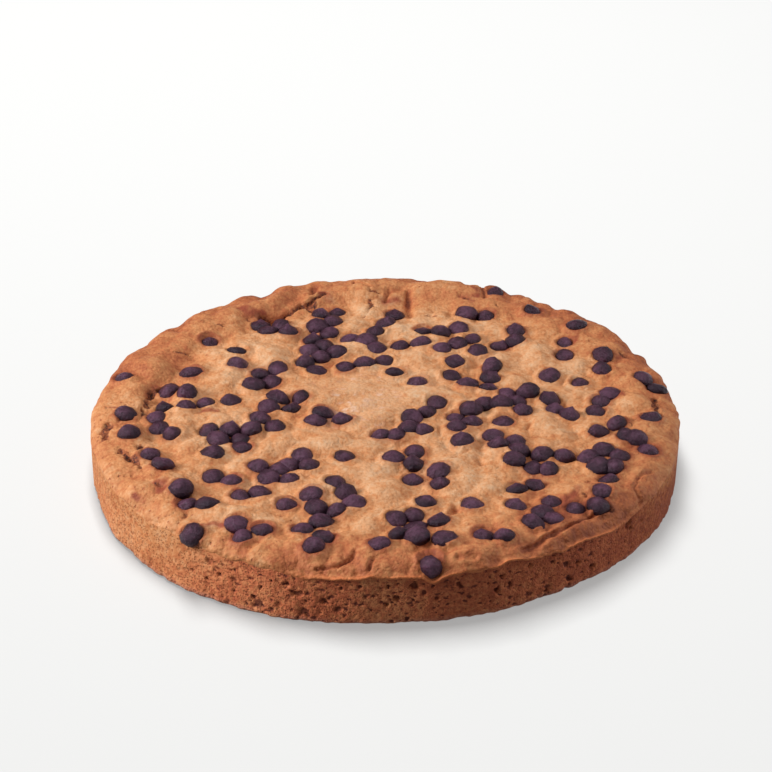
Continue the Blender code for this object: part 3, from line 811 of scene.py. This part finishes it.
# The crumb's relief: lumps, nubs and pores of three widths, each with its depth.
LUMP_DEPTH, CRUMB_LUMP_WIDTH = 0.4 * MM, 8.0 * MM
NUB_DEPTH, NUB_WIDTH = 0.26 * MM, 2.2 * MM
COARSE_DEPTH, COARSE_CELL = 1.2 * MM, 3.4 * MM
MIDDLING_DEPTH, MIDDLING_CELL = 0.5 * MM, 2.0 * MM
SMALL_DEPTH, SMALL_CELL = 0.3 * MM, 1.3 * MM
PORE_WANDER, PORE_WAVE = 1.1 * MM, 3.0 * MM
HOLE_WANDER, HOLE_WAVE = 1.6 * MM, 2.4 * MM
SKIN_PATCH, TOAST_PATCH, PRESS_PATCH = 18.0 * MM, 24.0 * MM, 9.0 * MM
# The side that gets the most painted shade in the crumb's toasted tone.
PAINTED_SHADE_SIDE = math.radians(-20.0)

# Large holes in the open wall, some with chocolate in them: angle in degrees, then height, width
# and depth in millimetres.
WALL_HOLES = (
    (-113.2, 5.1, 4.6, 0.7), (-104.4, 4.7, 3.0, 0.8), (-105.6, 12.7, 3.2, 1.5), (-107.7, 16.0, 2.0, 1.3),
    (-100.7, 10.6, 2.4, 1.1), (-98.4, 7.4, 2.8, 1.1), (-89.6, 17.7, 2.0, 1.8), (-88.2, 12.5, 2.2, 1.8),
    (-89.6, 9.7, 1.8, 1.5), (-85.1, 18.0, 3.4, 1.7), (-76.8, 16.8, 2.2, 1.6), (-80.7, 11.0, 1.8, 1.3),
    (-69.6, 11.9, 2.4, 1.9), (-67.5, 12.4, 1.7, 1.3), (-63.0, 18.8, 2.2, 1.5), (-52.1, 11.7, 2.4, 1.7),
    (-48.4, 6.3, 2.2, 1.5), (-39.3, 18.0, 3.0, 1.5), (-53.9, 5.1, 2.0, 1.1), (-59.3, 3.8, 2.0, 1.1),
    (-68.7, 17.6, 1.8, 1.3), (-121.0, 13.0, 1.8, 1.0), (-128.0, 9.0, 1.6, 0.9), (-118.0, 17.0, 1.6, 0.9),
)

wall_angle = np.linspace(-np.pi, np.pi, WALL_STEPS, endpoint=False)
share, angle = np.meshgrid(np.linspace(0.0, 1.0, WALL_ROWS), wall_angle, indexing="ij")
edge, lip = ragged_outline(angle), ragged_lip(angle)
level = (lip - LIP_LAP) * (1.0 - share)
fall = 1.0 - level / lip
flare = FLARE_REACH * bell(angle, FLARE_ANGLE, FLARE_SPREAD)
foot = np.clip(1.0 - level / BASE_EDGE_HEIGHT, 0.0, 1.0)
wrapped, no_lip = skin_share(angle), lip_gone(angle)
setback = (WALL_SETBACK - FRONT_INSET) * (1.0 - no_lip) + WRAP_SETBACK * no_lip
around = round_points(RADIUS, angle, 0.0)
ragged_foot = solid_noise(around, FOOT_WAVE, 79, 2) + 0.7 * solid_noise(around, FOOT_NICK, 80)
radius = edge - setback + flare * fall - (BASE_SETBACK - WALL_SETBACK) * foot**2 - WALL_DRAFT * fall
radius = radius + FOOT_WANDER * ragged_foot * np.clip(fall * 2.0 - 1.0, 0.0, 1.0)
place = round_points(radius, angle, level)

# Where the crust runs down over the crumb the pores are shallow. The finer ones are wider than
# high.
skinned = wrapped * (1.2 - 0.85 * fall + 0.35 * solid_noise(place, SKIN_PATCH, 71))
skinned = np.clip(skinned, 0.0, 1.0)
warp = np.stack([solid_noise(place, PORE_WAVE, k, 2) for k in (91, 92, 93)], axis=-1)
warped = place + PORE_WANDER * warp
squat = np.array([0.75, 0.75, 1.35])
coarse = pores(warped, COARSE_CELL, 0.16, 72)
middling = pores(warped * squat, MIDDLING_CELL, 0.60, 73)
small = pores(warped * squat, SMALL_CELL, 0.80, 74)
pit = np.maximum(np.maximum(coarse, middling * 0.8), small * 0.55) * (1.0 - 0.8 * skinned)

# Each large hole is a round dent with a wandering edge, full out to half its half width and gone
# at one and a half of it.
stray_along, stray_up = (HOLE_WANDER * solid_noise(place, HOLE_WAVE, k, 2) for k in (94, 95))
holed, hole_depth = np.zeros_like(angle), np.zeros_like(angle)
for hole_angle, hole_height, hole_width, hole_deep in WALL_HOLES:
    along = RADIUS * (angle - math.radians(hole_angle)) + stray_along
    away = np.hypot(along, level - hole_height * MM + stray_up) / (0.5 * hole_width * MM)
    gap = np.clip(1.5 - away, 0.0, 1.0)
    holed = np.maximum(holed, gap)
    hole_depth = np.maximum(hole_depth, hole_deep * MM * smooth(gap))

radius = radius + np.clip(fall * 8.0, 0.0, 1.0) * (
    LUMP_DEPTH * solid_noise(place, CRUMB_LUMP_WIDTH, 75, 2)
    + NUB_DEPTH * solid_noise(place, NUB_WIDTH, 76, 2) * (1.0 - 0.5 * skinned)
    - (COARSE_DEPTH * coarse + MIDDLING_DEPTH * middling + SMALL_DEPTH * small) * (1.0 - 0.9 * skinned)
    - hole_depth
)
radius = np.minimum(radius, edge - np.minimum(setback, PROUD_LIMIT) + flare * fall - PROUD_DRAFT * fall)
inner_top = (
    round_points(edge[0] - TOP_INSET, wall_angle, WALL_TOP),
    round_points(edge[0] - (setback[0] + TUCK_INSET), wall_angle, lip[0] - TUCK_DROP),
)
rows = np.concatenate([np.stack(inner_top), round_points(radius, angle, level)])
count = len(rows)
points = np.vstack([rows.reshape(-1, 3), [[0.0, 0.0, WALL_TOP], [0.0, 0.0, 0.0]]])
index = np.arange(count * WALL_STEPS).reshape(count, WALL_STEPS)
bands = np.vstack([ring_faces(index[k], index[k + 1]) for k in range(count - 1)])
cap = np.stack([np.full(WALL_STEPS, len(points) - 2), index[0], np.roll(index[0], -1)], axis=1)
under = np.stack([index[-1], np.full(WALL_STEPS, len(points) - 1), np.roll(index[-1], -1)], axis=1)
faces = bands.tolist() + cap.tolist() + under.tolist()


def wall_values(values):
    """The wall's numbers, with zeros for the hidden rings above it and for both middles."""
    hidden = np.zeros(2 * WALL_STEPS)
    return np.concatenate([hidden, np.clip(values, 0.0, 1.0).reshape(-1), np.zeros(2)])


# The toasted tone is palest at the front left, the side towards the key light, and darkest at the
# right, away from it: painted light and shade. Under the shoulder the skin takes the tone of the crust
# above it. The foot was pressed against the tin's floor.
to_left = np.clip(0.5 - 0.9 * np.cos(angle), 0.0, 1.0)
toast = (
    0.42
    + 0.22 * solid_noise(place, TOAST_PATCH, 77, 2)
    + 0.20 * to_left
    + 0.20 * wrapped * (1.0 - to_left)
    - 0.06 * flare / FLARE_REACH
    + 0.37 * np.clip(np.cos(angle - PAINTED_SHADE_SIDE), 0.0, 1.0) ** 1.5
)
order = np.argsort(rim_angle)
rim_tone = np.interp(wall_angle, rim_angle[order], browned.reshape(-1)[border][order], period=2.0 * np.pi)
follow = wrapped * np.clip(1.0 - 1.6 * fall, 0.0, 1.0)
toast = toast * (1.0 - follow) + rim_tone * follow
pressed = np.clip(1.0 - level / FOOT_HEIGHT, 0.0, 1.0) * (0.7 + 0.6 * solid_noise(place, PRESS_PATCH, 78))
crumb = new_mesh(
    "crumb",
    points,
    faces,
    {
        "pit": wall_values(pit),
        "toast": wall_values(toast),
        "skinned": wall_values(skinned),
        "pressed": wall_values(pressed),
        "holed": wall_values(holed),
    },
)

CRUMB_STOPS = ((0.0, "#F2B081"), (0.35, "#E69562"), (0.65, "#CE724A"), (1.0, "#9C4830"))
PIT_SHADE_STOPS = ((0.0, "#AE5A3B"), (0.6, "#8E4732"), (1.0, "#612C23"))

# Widths of the patterns. The finest bubbles are really narrower, and are drawn so wide to show.
MOTTLE_SIZE = 2.4 * MM
BUBBLE_SIZE = 1.8 * MM
FINE_BUBBLE_SIZE = 1.0 * MM
BUBBLE_BEND = 0.6 * MM

# Toasted open crumb: dry, matt and rough, orange-brown on the walls between the bubbles and deep
# red-brown inside them, which is painted shade.
open_crumb, tree, shader = start_material("toasted_open_crumb")
spot = add(tree, "TexCoord").outputs["Object"]
deep, toasted, skin, at_foot, in_hole = (
    add(tree, "Attribute", {"attribute_name": label}).outputs["Fac"]
    for label in ("pit", "toast", "skinned", "pressed", "holed")
)
speckled = {"Scale": 1.0 / MOTTLE_SIZE, "Detail": 5.0, "Roughness": 0.65}
mottle = add(tree, "TexNoise", speckled, {"Vector": spot})
bending = {"operation": "MULTIPLY_ADD", 1: (BUBBLE_BEND, BUBBLE_BEND, BUBBLE_BEND)}
bent = add(tree, "VectorMath", bending, {0: mottle.outputs["Color"], 2: spot})

# Holes: small bubbles that the mesh is too coarse for, on top of the mesh's own pits.
open_share = add(tree, "Math", {"operation": "MULTIPLY_ADD", 1: -0.45, 2: 0.95}, {0: skin})
wide_bubbles = bubble_holes(tree, bent, open_share, BUBBLE_SIZE, 0.22, 0.62)
fine_bubbles = bubble_holes(tree, bent, open_share, FINE_BUBBLE_SIZE, 0.30, 0.70)
bubbles = add(tree, "Math", {"operation": "MAXIMUM"}, {0: wide_bubbles, 1: fine_bubbles})
# Pits and bubbles are coloured darker inside, the deeper the darker: painted shade.
sharp_pit = add(tree, "MapRange", {"interpolation_type": "SMOOTHSTEP", 1: 0.10, 2: 0.62}, {0: deep})
adding = {"operation": "MULTIPLY_ADD", "use_clamp": True, 1: 0.55}
hollow = add(tree, "Math", adding, {0: bubbles, 2: sharp_pit})
hollow = add(tree, "Math", {"operation": "MULTIPLY", 1: 0.9}, {0: hollow})

# The crumb's tone and the skin's, mixed by the share of skin, then the pale foot.
uneven = add(tree, "Math", {"operation": "MULTIPLY_ADD", 1: 1.2, 2: -0.6}, {0: mottle})
# The toasted tone carries painted light at the front left and painted shade at the right.
toned = add(tree, "Math", {"operation": "ADD", "use_clamp": True}, {0: toasted, 1: uneven})
crumb_tone = add(tree, "ValToRGB", links={0: toned})
lay_stops(crumb_tone.color_ramp, CRUMB_STOPS)
skin_tone = add(tree, "ValToRGB", links={0: toned})
lay_stops(skin_tone.color_ramp, BAKED_STOPS)
colour = add(tree, "Mix", {"data_type": "RGBA"}, {0: skin, 6: crumb_tone, 7: skin_tone}).outputs[2]
paler = add(tree, "Math", {"operation": "MULTIPLY", 1: 0.8}, {0: at_foot})
colour = add(tree, "Mix", {"data_type": "RGBA", 7: linear("#B0857C")}, {0: paler, 6: colour}).outputs[2]

# The insides of the pits and bubbles, darker the deeper they are as painted shade and warmer under
# skin, and the large holes, darker still with chocolate in some and painted shade in all.
inside = add(tree, "ValToRGB", links={0: sharp_pit})
lay_stops(inside.color_ramp, PIT_SHADE_STOPS)
warmer = add(tree, "Math", {"operation": "MULTIPLY", 1: 2.0, "use_clamp": True}, {0: skin})
inside = add(tree, "Mix", {"data_type": "RGBA", 7: linear("#9A5230")}, {0: warmer, 6: inside}).outputs[2]
colour = add(tree, "Mix", {"data_type": "RGBA"}, {0: hollow, 6: colour, 7: inside}).outputs[2]
# Painted shade in the large holes, with chocolate in some.
hole_edge = add(tree, "Math", {"operation": "ADD"}, {0: in_hole, 1: uneven})
shading = {"interpolation_type": "SMOOTHSTEP", 1: 0.30, 2: 0.95, 4: 0.72}
shaded = add(tree, "MapRange", shading, {0: hole_edge})
colour = add(tree, "Mix", {"data_type": "RGBA", 7: linear("#45191C")}, {0: shaded, 6: colour}).outputs[2]
tree.links.new(colour, shader.inputs["Base Color"])

pitted = add(tree, "Bump", {"Strength": 0.7, "Distance": 0.35 * MM, "invert": True}, {"Height": bubbles})
rough = add(tree, "Bump", {"Strength": 0.65, "Distance": 0.8 * MM}, {"Height": mottle, "Normal": pitted})
tree.links.new(rough.outputs[0], shader.inputs["Normal"])
shader.inputs["Roughness"].default_value = 0.8
shader.inputs["Specular IOR Level"].default_value = 0.25
crumb.data.materials.append(open_crumb)
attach(crumb, "root")
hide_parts("cookie_cake")

# ---------------------------------------------------------------------------------------------
# The chips. Small round drops of dark chocolate, pressed or fallen onto the dough, softened in
# the oven to blunt domes and half sunk in it. Each has its own size, lean and depth.
# ---------------------------------------------------------------------------------------------

CHIP_SIDES = 12
CHIP_BOTTOM = 2.8 * MM
CHIP_PROUD = CHIP_HEIGHT - CHIP_SINK
LEAN_GAIN = 1.2
LEAN_TO_FRONT = 0.6
SEAT_STEP = 3.0 * MM
NUB_RADIUS = 1.6 * MM
NUB_MOST = 1.2 * MM
TIP_DRIFT = 0.7 * MM
OVAL_LEAST, OVAL_MOST = 0.93, 1.04
MELT_LEAST = 0.78
MELT_DENT, MELT_DENT_WIDTH = 0.17, 3.4 * MM
TAPER_MOST = 0.30
TOP_MARGIN = 0.03 * MM

# The chip that fell on the front edge and hangs over the lip.
HANGING_CHIP = (17.0 * MM, -119.0 * MM)
HANG_LEAN = math.radians(50.0)
HANG_OUT = 2.0 * MM
HANG_DOWN = 1.8 * MM

# One chip from its base to below its tip: radius and height, as shares of CHIP_RADIUS and, below
# the dough, of CHIP_BOTTOM or, above it, of CHIP_PROUD.
CHIP_OUTLINE = np.array([(0.95, -0.60), (1.06, 0.02), (1.06, 0.36), (0.85, 0.68), (0.46, 0.90)])


def dough_normals(x, y):
    """Directions in which the dough faces at x and y, over the width of a chip."""
    step = SEAT_STEP
    slope_x = (dough_height(x + step, y) - dough_height(x - step, y)) / (2.0 * step)
    slope_y = (dough_height(x, y + step) - dough_height(x, y - step)) / (2.0 * step)
    return np.stack([-slope_x, -slope_y, np.ones_like(x)], axis=1)


count = len(CHIPS)
seat = dough_height(CHIPS[:, 0], CHIPS[:, 1]) - sunk
faces_to = dough_normals(CHIPS[:, 0], CHIPS[:, 1])
placing = np.empty((count, 4, 4))
for index_of, (chip_x, chip_y) in enumerate(CHIPS):
    upright = Vector(faces_to[index_of]).to_track_quat("Z", "Y").to_matrix().to_4x4()
    axis = Vector((math.cos(towards[index_of]), math.sin(towards[index_of]), 0.0))
    leans = (LEAN_GAIN + LEAN_TO_FRONT * axis.x) * lean[index_of]
    leaning = Matrix.Rotation(leans, 4, axis) @ Matrix.Rotation(turned[index_of], 4, "Z")
    here = Matrix.Translation((chip_x, chip_y, seat[index_of]))
    if math.hypot(chip_x - HANGING_CHIP[0], chip_y - HANGING_CHIP[1]) < MM:
        outward = Vector((chip_x, chip_y, 0.0)).normalized()
        upright = Matrix.Identity(4)
        leaning = Matrix.Rotation(HANG_LEAN, 4, Vector((-outward.y, outward.x, 0.0)))
        here = Matrix.Translation(HANG_OUT * outward - Vector((0.0, 0.0, HANG_DOWN))) @ here
    placing[index_of] = np.array(here @ upright @ leaning @ Matrix.Scale(size[index_of], 4))

# Every chip starts from the same rings, then each is made oval, its tip pushed aside, narrowed
# and given a nub, melted lower, put in its place and dented.
outline_height = np.where(CHIP_OUTLINE[:, 1] > 0.0, CHIP_PROUD, CHIP_BOTTOM) * CHIP_OUTLINE[:, 1]
chip_rings = len(CHIP_OUTLINE)
around = np.linspace(0.0, 2.0 * np.pi, CHIP_SIDES, endpoint=False)
ring_angle, ring_radius = np.meshgrid(around, CHIP_RADIUS * CHIP_OUTLINE[:, 0])
chip_shape = round_points(ring_radius, ring_angle, outline_height[:, None]).reshape(-1, 3)
chip_shape = np.vstack([chip_shape, [[0.0, 0.0, -CHIP_BOTTOM], [0.0, 0.0, CHIP_PROUD]]])
bodies = np.broadcast_to(chip_shape, (count, *chip_shape.shape)).copy()
oval = draw.uniform(OVAL_LEAST, OVAL_MOST, (count, 1))
bodies[:, :, 0] *= oval
bodies[:, :, 1] /= oval
rise = np.clip(bodies[:, :, 2:] / CHIP_PROUD, 0.0, 1.0)
bodies[:, :, :2] += draw.normal(0.0, TIP_DRIFT, (count, 1, 2)) * rise**2
melted = draw.uniform(MELT_LEAST, 1.0, (count, 1))
nub = draw.uniform(0.0, NUB_MOST, (count, 1))
taper = TAPER_MOST * draw.uniform(0.0, 1.0, (count, 1, 1)) ** 2
bodies[:, :, :2] *= 1.0 - taper * rise**1.5
above = bodies[:, :, 2] > 0.0
from_tip = np.hypot(chip_shape[:, 0], chip_shape[:, 1])
bodies[:, :, 2] += nub * bell(from_tip, 0.0, NUB_RADIUS) * above
bodies[:, :, 2] *= np.where(above, melted, 1.0)
centre = placing[:, None, :3, 3]
placed = np.einsum("nij,nkj->nki", placing[:, :3, :3], bodies) + centre
dented = solid_noise(placed, MELT_DENT_WIDTH, 81, 2)
placed = centre + (placed - centre) * (1.0 + MELT_DENT * dented[..., None])
placed[..., 2] = np.minimum(placed[..., 2], cad_box[1][2] - TOP_MARGIN)

per_chip = len(chip_shape)
index = np.arange(chip_rings * CHIP_SIDES).reshape(chip_rings, CHIP_SIDES)
side_quads = np.vstack([ring_faces(index[k + 1], index[k]) for k in range(chip_rings - 1)])
bottom_fan = np.stack([np.roll(index[0], -1), index[0], np.full(CHIP_SIDES, per_chip - 2)], axis=1)
top_fan = np.stack([index[-1], np.roll(index[-1], -1), np.full(CHIP_SIDES, per_chip - 1)], axis=1)
start = per_chip * np.arange(count)[:, None, None]
faces = (
    (start + side_quads).reshape(-1, 4).tolist()
    + (start + bottom_fan).reshape(-1, 3).tolist()
    + (start + top_fan).reshape(-1, 3).tolist()
)
tint = np.repeat(draw.uniform(0.0, 1.0, count), per_chip)
# Height up each chip, for painted light towards the tip and painted shade at the base.
crest = np.tile(np.clip(chip_shape[:, 2] / CHIP_PROUD, 0.0, 1.0), count)
chips = new_mesh("chocolate_chips", placed.reshape(-1, 3), faces, {"tint": tint, "crest": crest})

CHOCOLATE_STOPS = ((0.0, "#1D0A15"), (0.5, "#381927"), (1.0, "#5E394D"))

# Widths of the patches of bloom and of the streaks.
BLOOM_SIZE = 3.1 * MM
STREAK_SIZE = 0.9 * MM

# Dark chocolate that melted and set again in the oven: nearly black brown with a plum cast, a
# soft sheen and a faint grey bloom.
dark_chocolate, tree, shader = start_material("baked_dark_chocolate")
spot = add(tree, "TexCoord").outputs["Object"]
own_tint, high = (
    add(tree, "Attribute", {"attribute_name": label}).outputs["Fac"] for label in ("tint", "crest")
)
bloom, streaks = (
    add(tree, "TexNoise", {"Scale": 1.0 / size, "Detail": detail, "Roughness": rough}, {"Vector": spot})
    for size, detail, rough in ((BLOOM_SIZE, 7.0, 0.72), (STREAK_SIZE, 2.0, 0.6))
)

# The colour is lighter on some chips, on streaks and in the bloom, and lighter towards the tip and
# darker at the base, which is painted light and shade.
shade = add(tree, "Math", {"operation": "MULTIPLY_ADD", 1: 0.35, 2: -1.74}, {0: own_tint})
shade = add(tree, "Math", {"operation": "MULTIPLY_ADD", 1: 1.1}, {0: streaks, 2: shade})
shade = add(tree, "Math", {"operation": "MULTIPLY_ADD", 1: 0.95}, {0: high, 2: shade})
shade = add(tree, "Math", {"operation": "MULTIPLY_ADD", 1: 1.8, "use_clamp": True}, {0: bloom, 2: shade})
colour = add(tree, "ValToRGB", links={0: shade})
lay_stops(colour.color_ramp, CHOCOLATE_STOPS)
tree.links.new(colour.outputs[0], shader.inputs["Base Color"])
streaked = add(tree, "Bump", {"Strength": 0.6, "Distance": 0.4 * MM}, {"Height": streaks})
bloomed = add(tree, "Bump", {"Strength": 0.9, "Distance": 1.2 * MM}, {"Height": bloom, "Normal": streaked})
tree.links.new(bloomed.outputs[0], shader.inputs["Normal"])
shader.inputs["Roughness"].default_value = 0.36
shader.inputs["Specular IOR Level"].default_value = 0.45
shader.inputs["Specular Tint"].default_value = linear("#E6D0E8")
chips.data.materials.append(dark_chocolate)
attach(chips, "root")
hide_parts("cookie_cake")

# ---------------------------------------------------------------------------------------------
# The studio. A plain pale floor with a light of its own, a wide soft light over the cake, a broad
# key from the left and a weak fill from the right. The camera stands in front and looks down.
# ---------------------------------------------------------------------------------------------

FLOOR_HALF = 3.0

floor = new_mesh(
    "floor",
    FLOOR_HALF * np.array([[-1.0, -1.0, 0.0], [1.0, -1.0, 0.0], [1.0, 1.0, 0.0], [-1.0, 1.0, 0.0]]),
    [[0, 1, 2, 3]],
    {},
)
pale_board, tree, shader = start_material("pale_matt_board")
shader.inputs["Base Color"].default_value = linear("#8F8F8E")
shader.inputs["Emission Color"].default_value = linear("#FFFFFE")
shader.inputs["Emission Strength"].default_value = 0.35
shader.inputs["Roughness"].default_value = 0.9
shader.inputs["Specular IOR Level"].default_value = 0.1
floor.data.materials.append(pale_board)
floor.visible_diffuse = False

# The soft boxes all face the middle of the cake.
AIM = Vector((0.0, 0.0, 0.02))


def soft_light(name, position, width, height, power, lit):
    """A rectangular soft box that faces the cake and lights one collection only. Its place and
    sides are in metres and its power in watts."""
    lamp = bpy.data.lights.new(name, "AREA")
    lamp.shape = "RECTANGLE"
    lamp.size, lamp.size_y = width, height
    lamp.energy = power
    box = bpy.data.objects.new(name, lamp)
    box.location = position
    box.rotation_euler = (AIM - Vector(position)).to_track_quat("-Z", "Y").to_euler()
    box.light_linking.receiver_collection = lit
    bpy.context.scene.collection.objects.link(box)


cake_only = bpy.data.collections.new("cake_only")
for piece in (crust, crumb, chips):
    cake_only.objects.link(piece)
floor_only = bpy.data.collections.new("floor_only")
floor_only.objects.link(floor)
soft_light("overhead_soft_box", (-0.15, 0.75, 2.0), 2.4, 1.8, 18.0, cake_only)
soft_light("left_key_soft_box", (-1.38, -0.22, 0.80), 0.8, 0.7, 28.0, cake_only)
soft_light("right_fill_soft_box", (1.5, 0.30, 0.6), 0.7, 0.6, 9.0, cake_only)
soft_light("floor_soft_box", (-0.2, 0.62, 1.95), 0.6, 1.5, 93.0, floor_only)

world = bpy.data.worlds.new("studio_air")
world.use_nodes = True
world.node_tree.nodes["Background"].inputs["Color"].default_value = (0.98, 0.99, 1.03, 1.0)
world.node_tree.nodes["Background"].inputs["Strength"].default_value = 0.18
bpy.context.scene.world = world
bpy.context.scene.view_settings.view_transform = "Standard"

# The lens stands eight cake radii from the middle, 31 degrees up, and looks just over the middle
# of the cake's top.
CAMERA_DISTANCE = 8.0 * RADIUS
CAMERA_ELEVATION = math.radians(31.06)
CAMERA_PITCH = math.radians(29.25)
camera_data = bpy.data.cameras.new("camera")
camera_data.lens = 108.4
camera_data.sensor_width = 36.0
camera = bpy.data.objects.new("camera", camera_data)
camera.location = (
    0.0,
    -CAMERA_DISTANCE * math.cos(CAMERA_ELEVATION),
    CAMERA_DISTANCE * math.sin(CAMERA_ELEVATION),
)
camera.rotation_euler = (0.5 * math.pi - CAMERA_PITCH, 0.0, 0.0)
bpy.context.scene.collection.objects.link(camera)
bpy.context.scene.camera = camera
